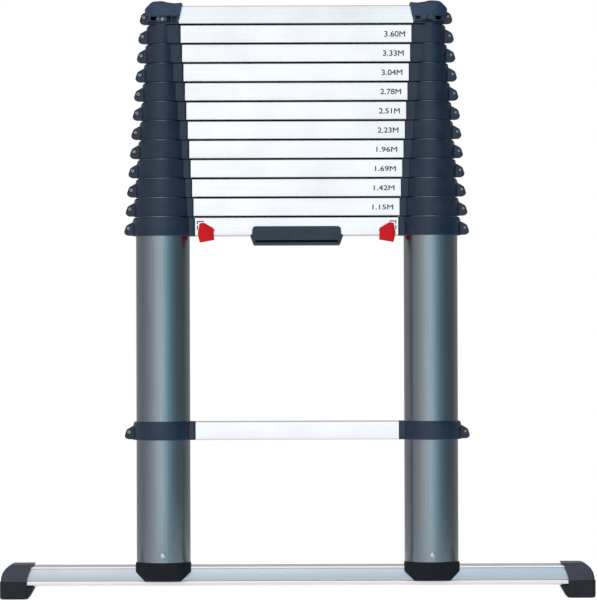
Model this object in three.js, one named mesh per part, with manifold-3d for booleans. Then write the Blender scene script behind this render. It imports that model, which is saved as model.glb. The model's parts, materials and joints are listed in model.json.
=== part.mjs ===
// A telescopic ladder, closed: eleven sliding sections stacked on a wide base with a stabiliser bar.
// Units are millimetres. X runs along the rungs, -Y is the front and +Z is up.
// The origin is on the floor, midway between the two stiles.
import * as THREE from 'three';
import { mergeVertices } from 'three/addons/utils/BufferGeometryUtils.js';
import Module from 'manifold-3d';

const wasm = await Module();
wasm.setup();

// ---------------------------------------------------------------- driving dimensions
const GAP = 0.3;                 // clearance between separate pieces that touch
const CURVE_STEPS = 3;           // straight edges in each curved stretch of an outline

const SECTIONS = 11;             // sliding sections above the base
const STILE_X = 203.6;           // from the middle of the ladder to each stile's axis
const STACK_Z = 550.5;           // underside of the handle rung, the lowest of the stack
const PITCH = 29.2;              // from one closed rung to the next

const TUBE_RADIUS = 40.9;        // outside of the base tube
const TUBE_STEP = 2.2;           // each section's tube is this much smaller in radius
const TUBE_WALL = 1.15;
const TUBE_SIDES = 16;
const TUBE_BOTTOM_Z = 55.5;      // lower end of the base tube
const INNER_TUBE_LENGTH = 356;

const COLLAR_WALL = 5.1;
const COLLAR_HEIGHT = 28;
const COLLAR_REACH = 49.4;       // from the base tube's axis to the end of its rung
const COLLAR_REACH_STEP = 2.1;
const SPIGOT_LENGTH = 22;        // how far a collar goes inside its rung
const LUG_DEPTH = 18;
const LUG_SLOT = 2.4;
const LUG_TOP = 21.5;            // above the underside of the collar
const LUG_REACH = 12.8;          // lug tip, outside the collar's ring
const SCREW_X = 6;               // clamp screw's axis, outside the collar's ring
const SCREW_Z = 11.8;
const SCREW_HOLE_RADIUS = 2.6;

const RUNG_DEPTH = 42;
const RUNG_HEIGHT = 28;
const RUNG_WALL = 1.6;
const RUNG_CORNER = 5;
const LOW_RUNG_Z = 241;          // underside of the fixed rung below the stack

const PIN_RADIUS = 3;
const PIN_Z = 14;                // lock pin's axis above the underside of its rung
const PIN_TIP = 39.7;            // from the stile's axis, just inside the base tube's wall
const PIN_FLANGE_RADIUS = 5.5;
const PIN_FLANGE_X = 66.3;
const PIN_FLANGE = 1.7;
const RELEASE_TRAVEL = 8;
const HOUSING_FROM = 52;         // hollow of the handle collar's spigot, which holds the spring
const HOUSING_TO = 88;
const HOUSING_END = 91;
const SPRING_RADIUS = 4.2;
const SPRING_WIRE = 0.6;
const SPRING_TURNS = 6;

const BUTTON_FROM = 53.6;        // release button, from the stile's axis
const BUTTON_TO = 79.4;
const BUTTON_DROP = 10.6;        // how far it hangs below its rung
const BUTTON_RISE = 20.2;
const BUTTON_PLATE = 6.5;
const STEM_FROM = 57.8;
const STEM_TO = 66;
const STEM_HALF_DEPTH = 4;

const GRIP_HALF_LENGTH = 70.5;
const GRIP_WALL = 4.2;
const GRIP_DROP = 14.5;
const GRIP_RISE = 14.2;

const BAR_HALF_LENGTH = 435;
const BAR_FRONT_Y = -18;
const BAR_BACK_Y = 42;
const BAR_BOTTOM_Z = 19.5;
const BAR_TOP_Z = 49.2;
const BAR_WALL = 2;
const BAR_CORNER = 3;            // rounding under the bar's front
const BAND_LOW_Z = 26.8;         // the band let in along the bar's front
const BAND_HIGH_Z = 46.5;
const BAND_DEPTH = 2;
const CAP_OUTER_X = 452;
const CAP_INNER_X = 401;
const CAP_FRONT_Y = -23;
const CAP_BACK_Y = TUBE_RADIUS + COLLAR_WALL;
const CAP_TOP_Z = 52.6;

const SOLE_Z = 27.5;             // lowest point of the foot plugs, clear of the floor
const PLUG_RADIUS = 42;
const PLUG_BEVEL = 15;
const PLUG_INSERT_Z = 84;        // top of the plug inside the tube
const ARCH_HALF_WIDTH = 22;
const ARCH_TOP_Z = 47;
const ARCH_DEPTH = 13;
const RIVET_Z = 67;
const BOLT_Y = 12;

const BONNET_TOP_Z = 35.6;       // top of the end caps above the underside of the top rung
const BONNET_OUTER = 29.4;
const BONNET_INNER = 31.7;
const BONNET_HALF_DEPTH = 27;
const BRIM_Z = 13;
const WINDOW_Z = 5.4;
const WINDOW_TOP_Z = 11.4;

const tubeRadius = (k) => TUBE_RADIUS - TUBE_STEP * k;
const collarRadius = (k) => tubeRadius(k) + COLLAR_WALL;
const collarReach = (k) => COLLAR_REACH - COLLAR_REACH_STEP * k;
const rungZ = (k) => STACK_Z + PITCH * k;

// ---------------------------------------------------------------- materials
const finish = (color, roughness, metalness) =>
  new THREE.MeshStandardMaterial({ color, roughness, metalness });

const silver = finish(0xeef0f2, 0.42, 0.85);
const anthracite = finish(0x56646c, 0.38, 0.8);
const blackPlastic = finish(0x2a3440, 0.55, 0.0);
const rubber = finish(0x22272b, 0.75, 0.0);
const redPlastic = finish(0xcc2233, 0.4, 0.0);
const steel = finish(0xb9bdc2, 0.3, 1.0);

// ---------------------------------------------------------------- solid tools
function solid(geometry) {
  geometry.deleteAttribute('normal');
  geometry.deleteAttribute('uv');
  const merged = mergeVertices(geometry, 1e-4);
  return new wasm.Manifold(new wasm.Mesh({
    numProp: 3,
    vertProperties: new Float32Array(merged.attributes.position.array),
    triVerts: new Uint32Array(merged.index.array),
  }));
}

function named(name, body, material) {
  const { vertProperties, triVerts } = body.getMesh();
  const indexed = new THREE.BufferGeometry();
  indexed.setAttribute('position', new THREE.BufferAttribute(vertProperties, 3));
  indexed.setIndex(new THREE.BufferAttribute(triVerts, 1));
  const geometry = indexed.toNonIndexed();
  geometry.computeVertexNormals();
  const mesh = new THREE.Mesh(geometry, material);
  mesh.name = name;
  return mesh;
}

const outline = (points) => new THREE.Shape(points.map(([u, v]) => new THREE.Vector2(u, v)));

function circle(radius, sides = TUBE_SIDES, u = 0, v = 0) {
  const angles = Array.from({ length: sides }, (_, i) => (2 * Math.PI * i) / sides);
  return outline(angles.map((a) => [u + radius * Math.cos(a), v + radius * Math.sin(a)]));
}

function roundedBox(u0, u1, v0, v1, radius, steps = 2) {
  const corners = [[u1 - radius, v0 + radius, -0.5], [u1 - radius, v1 - radius, 0],
    [u0 + radius, v1 - radius, 0.5], [u0 + radius, v0 + radius, 1]];
  const points = corners.flatMap(([u, v, turn]) => Array.from({ length: steps + 1 }, (_, i) => {
    const a = Math.PI * (turn + i / (2 * steps));
    return [u + radius * Math.cos(a), v + radius * Math.sin(a)];
  }));
  return outline(points);
}

// An outline drawn in two axes, pushed along the third between two planes.
const pushed = (shape, depth) =>
  new THREE.ExtrudeGeometry(shape, { depth, bevelEnabled: false, curveSegments: CURVE_STEPS });

const alongZ = (shape, z0, z1) => solid(pushed(shape, z1 - z0).translate(0, 0, z0));

const X_BASIS = new THREE.Matrix4().makeBasis(
  new THREE.Vector3(0, 1, 0), new THREE.Vector3(0, 0, 1), new THREE.Vector3(1, 0, 0));
const alongX = (shape, x0, x1) =>
  solid(pushed(shape, x1 - x0).applyMatrix4(X_BASIS).translate(x0, 0, 0));

const Y_BASIS = new THREE.Matrix4().makeBasis(
  new THREE.Vector3(1, 0, 0), new THREE.Vector3(0, 0, 1), new THREE.Vector3(0, -1, 0));
const alongY = (shape, y0, y1) =>
  solid(pushed(shape, y1 - y0).applyMatrix4(Y_BASIS).translate(0, y1, 0));

const block = (x0, x1, y0, y1, z0, z1) =>
  alongZ(outline([[x0, y0], [x1, y0], [x1, y1], [x0, y1]]), z0, z1);

const join = (first, ...rest) => rest.reduce((all, one) => all.add(one), first);
const cut = (first, ...rest) => rest.reduce((all, one) => all.subtract(one), first);

// ---------------------------------------------------------------- tubes and rungs
const tube = (radius, z0, z1) => cut(
  alongZ(circle(radius), z0, z1),
  alongZ(circle(radius - TUBE_WALL), z0 - 1, z1 + 1),
);

// Its upper end is level with the top of its collar, or a little lower inside an end cap.
function innerTube(k) {
  const top = k < SECTIONS ? COLLAR_HEIGHT : COLLAR_HEIGHT - 4;
  return tube(tubeRadius(k), COLLAR_HEIGHT - INNER_TUBE_LENGTH, top);
}

// The front is -1 or 1, whichever way along the tube's own Y axis the ladder's front lies.
function baseTube(front) {
  const pinHole = alongX(circle(PIN_RADIUS + 0.6, 12, 0, STACK_Z + PIN_Z), 30, 50);
  const rivetHole = alongY(circle(2.7, 10, 0, RIVET_Z), 40 * front - 10, 40 * front + 10);
  return cut(tube(TUBE_RADIUS, TUBE_BOTTOM_Z, STACK_Z + COLLAR_HEIGHT), pinHole, rivetHole);
}

function rungProfile(inset) {
  const half = RUNG_DEPTH / 2 - inset;
  return roundedBox(-half, half, inset, RUNG_HEIGHT - inset, Math.max(RUNG_CORNER - inset, 1));
}

function rung(k, half = STILE_X - collarReach(k) - GAP) {
  return cut(
    alongX(rungProfile(0), -half, half),
    alongX(rungProfile(RUNG_WALL), -half - 1, half + 1),
  );
}

function handleRung() {
  const from = STILE_X - STEM_TO - RELEASE_TRAVEL - 0.5;
  const to = STILE_X - STEM_FROM + 0.5;
  const depth = STEM_HALF_DEPTH + 0.5;
  return cut(
    rung(0),
    block(from, to, -depth, depth, -1, RUNG_WALL + 1),
    block(-to, -from, -depth, depth, -1, RUNG_WALL + 1),
  );
}

// ---------------------------------------------------------------- collars
// A collar is drawn round the stile's axis with its rung towards +X and its clamp lug towards -X.
// It stands on z = 0, level with the underside of its rung.
function lugOutline(k) {
  const edge = collarRadius(k);
  const shape = new THREE.Shape();
  shape.moveTo(-edge + 4, LUG_TOP);
  shape.lineTo(-edge - 1, 20.4);
  shape.quadraticCurveTo(-edge - 9.5, 18.6, -edge - LUG_REACH, 7.6);
  shape.quadraticCurveTo(-edge - LUG_REACH - 0.2, 2.6, -edge - 8.6, 1.6);
  shape.lineTo(-edge + 4, 1);
  return shape;
}

function collarBody(k, spigotEnd) {
  const edge = collarRadius(k);
  const reach = collarReach(k);
  const side = RUNG_DEPTH / 2 + 1.5;
  const spigot = rungProfile(RUNG_WALL + GAP + 0.1);
  return cut(
    join(
      alongZ(circle(edge), 0, COLLAR_HEIGHT),
      block(0, reach, -side, side, 0, COLLAR_HEIGHT),
      alongX(spigot, reach - 2, spigotEnd),
      alongY(lugOutline(k), -LUG_DEPTH / 2, LUG_DEPTH / 2),
    ),
    block(-edge - 20, -tubeRadius(k), -LUG_SLOT / 2, LUG_SLOT / 2, -1, COLLAR_HEIGHT + 1),
    alongY(circle(SCREW_HOLE_RADIUS, 6, -edge - SCREW_X, SCREW_Z), -20, 20),
  );
}

// Where the lock pin of a rung goes through its collar, towards the tube that slides inside.
const pinBore = (from, to) => alongX(circle(PIN_RADIUS + 0.4, 12, 0, PIN_Z), from, to);

const tubeBore = (k) => alongZ(circle(tubeRadius(k) + GAP), -1, COLLAR_HEIGHT + 1);

function collar(k, spigotEnd = collarReach(k) + SPIGOT_LENGTH) {
  return cut(
    collarBody(k, spigotEnd),
    tubeBore(k),
    pinBore(tubeRadius(k) - 2, spigotEnd + 1),
  );
}

// The top section's collar is only a flange, a lug and a spigot, because the end cap stands on it.
function topCollar() {
  const lug = block(-60, -collarRadius(SECTIONS) + 1, -LUG_DEPTH / 2, LUG_DEPTH / 2, 0, LUG_TOP);
  const neck = block(0, 60, -12, 12, 0, COLLAR_HEIGHT - 4);
  const flange = block(-60, 60, -40, 40, 0, WINDOW_Z - 1.4);
  const spigot = block(collarReach(SECTIONS) + 1, 60, -40, 40, 0, COLLAR_HEIGHT);
  return collar(SECTIONS).intersect(join(flange, lug, neck, spigot));
}

// The handle rung's collar carries on into a housing for the lock pin and its spring.
function handleCollar() {
  return cut(
    collarBody(0, HOUSING_END),
    tubeBore(0),
    block(HOUSING_FROM, HOUSING_TO, -6, 6, -1, PIN_Z + 6.5),
    pinBore(TUBE_RADIUS - 2, HOUSING_FROM + 1),
  );
}

// A sliding section's rung, with the collars pressed on its two ends.
function sectionRung(k) {
  const end = k < SECTIONS ? collar(k) : topCollar();
  return join(
    rung(k, STILE_X - collarReach(k) + 0.5),
    end.translate(-STILE_X, 0, 0),
    end.rotate(0, 0, 180).translate(STILE_X, 0, 0),
  );
}

// ---------------------------------------------------------------- lock and release
const lockPin = () => join(
  alongX(circle(PIN_RADIUS, 12, 0, PIN_Z), PIN_TIP, PIN_FLANGE_X + PIN_FLANGE),
  alongX(circle(PIN_FLANGE_RADIUS, 12, 0, PIN_Z), PIN_FLANGE_X, PIN_FLANGE_X + PIN_FLANGE),
);

class Helix extends THREE.Curve {
  constructor(radius, turns, from, to) {
    super();
    Object.assign(this, { radius, turns, from, to });
  }

  getPoint(t, target = new THREE.Vector3()) {
    const a = 2 * Math.PI * this.turns * t;
    const x = this.from + (this.to - this.from) * t;
    return target.set(x, this.radius * Math.cos(a), this.radius * Math.sin(a));
  }
}

function lockSpring() {
  const margin = SPRING_WIRE + GAP + 0.2;
  const path = new Helix(SPRING_RADIUS, SPRING_TURNS, PIN_FLANGE_X + PIN_FLANGE + margin,
    HOUSING_TO - margin);
  const wire = new THREE.ExtrudeGeometry(circle(SPRING_WIRE, 5), {
    steps: SPRING_TURNS * 8, extrudePath: path,
  });
  return solid(wire.translate(0, 0, PIN_Z));
}

// The hand is -1 for the left button and 1 for the right one.
function releaseButton(hand) {
  const u = (fromStile) => hand * (STILE_X - fromStile);
  const front = -RUNG_DEPTH / 2 - GAP;
  const face = outline([
    [u(BUTTON_FROM + 2), BUTTON_RISE - 2], [u(BUTTON_FROM + 7), BUTTON_RISE],
    [u(BUTTON_FROM + 11.5), BUTTON_RISE], [u(BUTTON_TO - 1), 9.5], [u(BUTTON_TO), 6],
    [u(BUTTON_TO - 2), 2], [u(BUTTON_TO - 1), -7], [u(BUTTON_TO - 3.5), 1 - BUTTON_DROP],
    [u(BUTTON_FROM + 4), -BUTTON_DROP], [u(BUTTON_FROM + 1.2), 1.5 - BUTTON_DROP],
    [u(BUTTON_FROM), 1],
  ]);
  const [low, high] = [u(BUTTON_FROM + 3), u(BUTTON_TO - 3)].sort((a, b) => a - b);
  const [stemLow, stemHigh] = [u(STEM_FROM), u(STEM_TO)].sort((a, b) => a - b);
  const stem = cut(
    block(stemLow, stemHigh, -STEM_HALF_DEPTH, STEM_HALF_DEPTH, -2, PIN_Z + 5.5),
    alongX(circle(PIN_RADIUS + GAP, 12, 0, PIN_Z), stemLow - 1, stemHigh + 1),
  );
  return join(
    alongY(face, front - BUTTON_PLATE, front),
    block(low, high, front - 1, STEM_HALF_DEPTH + 2, -BUTTON_DROP + 1.5, -GAP),
    stem,
  );
}

function carryGrip() {
  const half = RUNG_DEPTH / 2 + GRIP_WALL;
  const sleeve = alongX(
    roundedBox(-half, half, -GRIP_DROP, GRIP_RISE + 14, 11, 5), -GRIP_HALF_LENGTH, GRIP_HALF_LENGTH);
  return cut(
    sleeve,
    alongX(rungProfile(-GAP), -GRIP_HALF_LENGTH - 1, GRIP_HALF_LENGTH + 1),
    block(-100, 100, -40, 40, GRIP_RISE, 60),
  );
}

// ---------------------------------------------------------------- end caps of the top rung
// Drawn like a collar: round the stile's axis, with the rung towards +X.
function topCap() {
  const front = new THREE.Shape();
  front.moveTo(-BONNET_OUTER + 3, WINDOW_Z - 1);
  front.lineTo(-BONNET_OUTER + 3, BRIM_Z);
  front.lineTo(-BONNET_OUTER, BRIM_Z);
  front.lineTo(-BONNET_OUTER, BRIM_Z + 4);
  front.quadraticCurveTo(-BONNET_OUTER + 5, BONNET_TOP_Z - 2, -8, BONNET_TOP_Z);
  front.lineTo(1, BONNET_TOP_Z);
  front.quadraticCurveTo(9, BONNET_TOP_Z - 3, 19, BONNET_TOP_Z - 3.6);
  front.lineTo(BONNET_INNER - 1, BONNET_TOP_Z - 3);
  front.lineTo(BONNET_INNER, BONNET_TOP_Z - 5);
  front.lineTo(BONNET_INNER - 6.1, WINDOW_Z - 1);
  const plan = new THREE.Shape();
  plan.moveTo(40, -BONNET_HALF_DEPTH + 2);
  plan.lineTo(40, BONNET_HALF_DEPTH - 2);
  plan.lineTo(8, BONNET_HALF_DEPTH);
  plan.lineTo(0, BONNET_HALF_DEPTH);
  plan.absellipse(0, 0, BONNET_OUTER + 1, BONNET_HALF_DEPTH, Math.PI / 2, 1.5 * Math.PI, false);
  plan.lineTo(8, -BONNET_HALF_DEPTH);
  const side = roundedBox(-BONNET_HALF_DEPTH - 1, BONNET_HALF_DEPTH + 1, -20, BONNET_TOP_Z, 9);
  const outer = alongY(front, -40, 40)
    .intersect(alongZ(plan, -1, 60))
    .intersect(alongX(side, -60, 60));
  const pocket = RUNG_DEPTH / 2 + 0.4;
  const windows = [-14.5, -4.3, 5.2, 14.3].map((x) => {
    const half = x < -10 ? 5 : 3.2;
    return block(x - half, x + half, -40, 40, WINDOW_Z, WINDOW_TOP_Z);
  });
  return cut(
    outer,
    block(14, 60, -pocket, pocket, -1, RUNG_HEIGHT + 0.4),
    alongZ(circle(tubeRadius(SECTIONS) + 5.6), -1, COLLAR_HEIGHT - 3),
    block(-60, -20, -LUG_DEPTH / 2 - 0.4, LUG_DEPTH / 2 + 0.4, -1, COLLAR_HEIGHT - 6.1),
    ...windows,
  );
}

// ---------------------------------------------------------------- base
function footPlug() {
  const half = PLUG_RADIUS;
  const bevelled = outline([
    [-half, 100], [-half, SOLE_Z + PLUG_BEVEL], [-half + PLUG_BEVEL, SOLE_Z],
    [half - PLUG_BEVEL, SOLE_Z], [half, SOLE_Z + PLUG_BEVEL], [half, 100],
  ]);
  const arch = new THREE.Shape();
  arch.moveTo(-ARCH_HALF_WIDTH, SOLE_Z + 4);
  arch.lineTo(ARCH_HALF_WIDTH, SOLE_Z + 4);
  arch.quadraticCurveTo(ARCH_HALF_WIDTH * 0.8, ARCH_TOP_Z, 0, ARCH_TOP_Z);
  arch.quadraticCurveTo(-ARCH_HALF_WIDTH * 0.8, ARCH_TOP_Z, -ARCH_HALF_WIDTH, SOLE_Z + 4);
  const plan = new THREE.Shape();
  plan.absellipse(0, BAR_FRONT_Y, half, half + BAR_FRONT_Y, Math.PI, 2 * Math.PI, false);
  plan.absellipse(0, 0, half, half, 0, Math.PI, false);
  const shoe = solid(new THREE.ExtrudeGeometry(plan, {
    depth: TUBE_BOTTOM_Z - GAP - SOLE_Z, bevelEnabled: false, curveSegments: TUBE_SIDES,
  }).translate(0, 0, SOLE_Z)).intersect(alongY(bevelled, -60, 60));
  const insert = alongZ(circle(TUBE_RADIUS - TUBE_WALL - GAP), TUBE_BOTTOM_Z - 1, PLUG_INSERT_Z);
  return cut(
    join(shoe, insert),
    block(-60, 60, BAR_FRONT_Y - GAP, 60, 0, BAR_TOP_Z + GAP),
    alongY(arch, -60, ARCH_DEPTH - PLUG_RADIUS),
    alongZ(circle(TUBE_RADIUS - 12), TUBE_BOTTOM_Z + 3, PLUG_INSERT_Z + 1),
    alongY(circle(2.7, 10, 0, RIVET_Z), -50, -30),
    alongZ(circle(3.4, 12, 0, BOLT_Y), BAR_TOP_Z - 1, TUBE_BOTTOM_Z + 5),
  );
}

// Along -Y, with its head outside the tube's wall.
const footRivet = () => join(
  alongY(circle(2.3, 10), -TUBE_RADIUS - 0.6, -TUBE_RADIUS + 8),
  alongY(circle(4.3, 12), -TUBE_RADIUS - 1.6, -TUBE_RADIUS - GAP),
  alongY(circle(2.8, 12), -TUBE_RADIUS - 2.5, -TUBE_RADIUS - 1.5),
);

// Up through the bar's top wall, with its head inside the bar.
const barBolt = () => join(
  alongZ(circle(3, 12), BAR_TOP_Z - BAR_WALL - 1, TUBE_BOTTOM_Z + 2),
  alongZ(circle(6.5, 6), BAR_TOP_Z - BAR_WALL - GAP - 4, BAR_TOP_Z - BAR_WALL - GAP),
);

function stabiliserBar() {
  const outer = outline([
    [BAR_FRONT_Y, BAR_BOTTOM_Z + BAR_CORNER], [BAR_FRONT_Y + BAR_CORNER, BAR_BOTTOM_Z],
    [BAR_BACK_Y, BAR_BOTTOM_Z], [BAR_BACK_Y, BAR_TOP_Z],
    [BAR_FRONT_Y, BAR_TOP_Z], [BAR_FRONT_Y, BAND_HIGH_Z],
    [BAR_FRONT_Y + BAND_DEPTH, BAND_HIGH_Z - 1],
    [BAR_FRONT_Y + BAND_DEPTH, BAND_LOW_Z + 1], [BAR_FRONT_Y, BAND_LOW_Z],
  ]);
  const hollowFront = BAR_FRONT_Y + BAND_DEPTH + BAR_WALL;
  const hollow = outline([
    [hollowFront, BAR_BOTTOM_Z + BAR_WALL], [BAR_BACK_Y - BAR_WALL, BAR_BOTTOM_Z + BAR_WALL],
    [BAR_BACK_Y - BAR_WALL, BAR_TOP_Z - BAR_WALL], [hollowFront, BAR_TOP_Z - BAR_WALL],
  ]);
  const holes = [-STILE_X, STILE_X].flatMap((x) => [
    alongZ(circle(3.4, 12, x, BOLT_Y), BAR_TOP_Z - BAR_WALL - 1, BAR_TOP_Z + 1),
    alongZ(circle(8, 12, x, BOLT_Y), BAR_BOTTOM_Z - 1, BAR_BOTTOM_Z + BAR_WALL + 1),
  ]);
  return cut(
    alongX(outer, -BAR_HALF_LENGTH, BAR_HALF_LENGTH),
    alongX(hollow, -BAR_HALF_LENGTH - 1, BAR_HALF_LENGTH + 1),
    ...holes,
  );
}

// The hand is -1 for the left cap and 1 for the right one.
function barCap(hand) {
  const u = (x) => hand * x;
  const side = new THREE.Shape();
  side.moveTo(u(CAP_INNER_X), CAP_TOP_Z);
  side.lineTo(u(CAP_OUTER_X - 21), CAP_TOP_Z);
  side.quadraticCurveTo(u(CAP_OUTER_X - 2), CAP_TOP_Z - 2, u(CAP_OUTER_X), CAP_TOP_Z - 32);
  side.lineTo(u(CAP_OUTER_X), 4);
  side.lineTo(u(CAP_OUTER_X - 4), 0);
  side.lineTo(u(CAP_INNER_X + 12), 0);
  side.lineTo(u(CAP_INNER_X + 8.5), 2);
  side.lineTo(u(CAP_INNER_X - 2.2), BAR_BOTTOM_Z - 1.5);
  side.lineTo(u(CAP_INNER_X - 2.2), BAR_BOTTOM_Z - GAP);
  side.lineTo(u(CAP_INNER_X + 9), BAR_BOTTOM_Z);
  side.quadraticCurveTo(u(CAP_INNER_X + 13), 34, u(CAP_INNER_X), CAP_TOP_Z - 1.5);
  const [from, to] = [u(CAP_INNER_X - 5), u(BAR_HALF_LENGTH + GAP)].sort((a, b) => a - b);
  return cut(
    alongY(side, CAP_FRONT_Y, CAP_BACK_Y),
    block(from, to, BAR_FRONT_Y - GAP, BAR_BACK_Y + GAP, BAR_BOTTOM_Z - GAP, BAR_TOP_Z + GAP),
  );
}

// ---------------------------------------------------------------- assembly
const ladder = new THREE.Group();

function place(parent, name, body, material, z = 0) {
  const piece = named(name, body, material);
  piece.position.z = z;
  parent.add(piece);
}

const digits = (k) => String(k).padStart(2, '0');

// Each stile is the same set of mouldings; the right one is turned half round.
for (const side of ['left', 'right']) {
  const stileGroup = new THREE.Group();
  stileGroup.position.x = side === 'left' ? -STILE_X : STILE_X;
  stileGroup.rotation.z = side === 'left' ? 0 : Math.PI;
  ladder.add(stileGroup);

  place(stileGroup, `base_tube_${side}`, baseTube(side === 'left' ? -1 : 1), anthracite);
  place(stileGroup, `handle_collar_${side}`, handleCollar(), blackPlastic, STACK_Z);
  place(stileGroup, `low_collar_${side}`, collar(0), blackPlastic, LOW_RUNG_Z);
  place(stileGroup, `lock_pin_${side}`, lockPin(), steel, STACK_Z);
  place(stileGroup, `lock_spring_${side}`, lockSpring(), steel, STACK_Z);
  place(stileGroup, `top_cap_${side}`, topCap(), blackPlastic, rungZ(SECTIONS));
  for (let k = 1; k <= SECTIONS; k += 1) {
    place(stileGroup, `tube_${side}_${digits(k)}`, innerTube(k), anthracite, rungZ(k));
  }
}

for (const [side, hand] of [['left', -1], ['right', 1]]) {
  const footGroup = new THREE.Group();
  footGroup.position.x = hand * STILE_X;
  ladder.add(footGroup);
  place(footGroup, `foot_plug_${side}`, footPlug(), rubber);
  place(footGroup, `foot_rivet_${side}`, footRivet(), steel, RIVET_Z);
  place(footGroup, `bar_bolt_${side}`, barBolt().translate(0, BOLT_Y, 0), steel);
  place(ladder, `bar_cap_${side}`, barCap(hand), rubber);
  place(ladder, `release_button_${side}`, releaseButton(hand), redPlastic, STACK_Z);
}

for (let k = 1; k <= SECTIONS; k += 1) {
  place(ladder, `rung_${digits(k)}`, sectionRung(k), silver, rungZ(k));
}
place(ladder, 'handle_rung', handleRung(), silver, STACK_Z);
place(ladder, 'low_rung', rung(0), silver, LOW_RUNG_Z);
place(ladder, 'carry_grip', carryGrip(), rubber, STACK_Z);
place(ladder, 'stabiliser_bar', stabiliserBar(), silver);

export default ladder;
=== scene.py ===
import json
import math

import bmesh
import bpy
from mathutils import Matrix, Vector

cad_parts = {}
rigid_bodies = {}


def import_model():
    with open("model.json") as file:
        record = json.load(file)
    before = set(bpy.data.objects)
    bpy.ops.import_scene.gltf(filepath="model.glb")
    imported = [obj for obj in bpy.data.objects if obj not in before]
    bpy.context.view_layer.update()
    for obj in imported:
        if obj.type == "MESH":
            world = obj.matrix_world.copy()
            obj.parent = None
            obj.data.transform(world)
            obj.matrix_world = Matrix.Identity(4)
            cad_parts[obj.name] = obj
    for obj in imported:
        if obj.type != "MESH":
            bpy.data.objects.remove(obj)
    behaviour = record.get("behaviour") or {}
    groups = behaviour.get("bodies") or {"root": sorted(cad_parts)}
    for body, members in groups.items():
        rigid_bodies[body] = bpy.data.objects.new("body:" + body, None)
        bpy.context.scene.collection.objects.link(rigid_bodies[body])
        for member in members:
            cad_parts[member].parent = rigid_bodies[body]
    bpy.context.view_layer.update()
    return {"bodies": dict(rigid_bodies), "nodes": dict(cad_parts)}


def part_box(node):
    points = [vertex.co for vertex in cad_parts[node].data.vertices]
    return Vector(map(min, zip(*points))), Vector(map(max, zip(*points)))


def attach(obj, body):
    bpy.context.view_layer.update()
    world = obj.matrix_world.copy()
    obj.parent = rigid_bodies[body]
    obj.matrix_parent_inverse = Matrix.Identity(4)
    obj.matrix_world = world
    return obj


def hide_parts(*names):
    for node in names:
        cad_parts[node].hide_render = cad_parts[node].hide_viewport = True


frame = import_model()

MM = 0.001


# ---------------------------------------------------------------- camera
CAMERA_X = 0.0025
CAMERA_DISTANCE = 5.6
CAMERA_HEIGHT = 0.394
CAMERA_AIM_HEIGHT = 0.4529
CAMERA_LENS = 220.8
CAMERA_ROLL = 0.18               # degrees


def add_camera():
    data = bpy.data.cameras.new("camera")
    data.lens = CAMERA_LENS
    data.clip_end = 200
    camera = bpy.data.objects.new("camera", data)
    pitch = math.atan2(CAMERA_AIM_HEIGHT - CAMERA_HEIGHT, CAMERA_DISTANCE)
    place = Matrix.Translation((CAMERA_X, -CAMERA_DISTANCE, CAMERA_HEIGHT))
    turn = Matrix.Rotation(math.pi / 2 + pitch, 4, "X")
    camera.matrix_world = place @ turn @ Matrix.Rotation(math.radians(-CAMERA_ROLL), 4, "Z")
    bpy.context.scene.collection.objects.link(camera)
    bpy.context.scene.camera = camera


add_camera()


# ---------------------------------------------------------------- sizes, from the frame
def millimetres(node):
    """The lowest and highest corners of a CAD node, in millimetres."""
    low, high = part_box(node)
    return low / MM, high / MM


SECTIONS = sum(1 for body in frame["bodies"] if body.startswith("section_"))
TUBE_LOW, TUBE_HIGH = millimetres("base_tube_right")
STILE_X = (TUBE_LOW.x + TUBE_HIGH.x) / 2
HANDLE_LOW, HANDLE_HIGH = millimetres("handle_rung")
LOW_RUNG_LOW, _ = millimetres("low_rung")
BAR_LOW, BAR_HIGH = millimetres("stabiliser_bar")
CAP_LOW, CAP_HIGH = millimetres("bar_cap_right")
PLUG_LOW, PLUG_HIGH = millimetres("foot_plug_right")
TOP_LOW, TOP_HIGH = millimetres("top_cap_right")

RUNG_DEPTH = HANDLE_HIGH.y - HANDLE_LOW.y
RUNG_HEIGHT = HANDLE_HIGH.z - HANDLE_LOW.z
GAP = 0.3                        # between parts that fit together
COLLAR_WALL = 5.1
COLLAR_REACH_STEP = 2.1          # each rung is longer than the one below it by two of these
COLLAR_REACH = STILE_X - HANDLE_HIGH.x - GAP
TUBE_WALL = 1.15


def tube_radius(k):
    """Outside radius of the tube of section k; section 0 is the base."""
    low, high = millimetres(f"tube_left_{k:02d}" if k else "base_tube_left")
    return (high.y - low.y) / 2


def collar_reach(k):
    """From the stile's axis to the end of the rung of section k."""
    return COLLAR_REACH - COLLAR_REACH_STEP * k


def rung_z(k):
    """Underside of the rung of section k."""
    return (millimetres(f"rung_{k:02d}")[0] if k else HANDLE_LOW).z


# ---------------------------------------------------------------- mesh tools
UPRIGHT = Matrix.Identity(4)
FRONTAL = Matrix(((1, 0, 0, 0), (0, 0, -1, 0), (0, 1, 0, 0), (0, 0, 0, 1)))
LENGTHWISE = Matrix(((0, 0, 1, 0), (1, 0, 0, 0), (0, 1, 0, 0), (0, 0, 0, 1)))
HALF_TURN = Matrix.Rotation(math.pi, 4, "Z")
SIDES = (("left", -STILE_X, UPRIGHT), ("right", STILE_X, HALF_TURN))
THROUGH = 60                     # a cutting tool this long passes right through a part


def shift(x=0.0, y=0.0, z=0.0):
    return Matrix.Translation((x, y, z))


def solid(name, verts, faces, matrix=UPRIGHT):
    """An object from points in millimetres, with its faces turned outwards."""
    mesh = bpy.data.meshes.new(name)
    mesh.from_pydata([(matrix @ Vector(v)) * MM for v in verts], [], faces)
    work = bmesh.new()
    work.from_mesh(mesh)
    bmesh.ops.remove_doubles(work, verts=work.verts, dist=1e-7)
    bmesh.ops.recalc_face_normals(work, faces=work.faces)
    work.to_mesh(mesh)
    work.free()
    piece = bpy.data.objects.new(name, mesh)
    bpy.context.scene.collection.objects.link(piece)
    return piece


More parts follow.
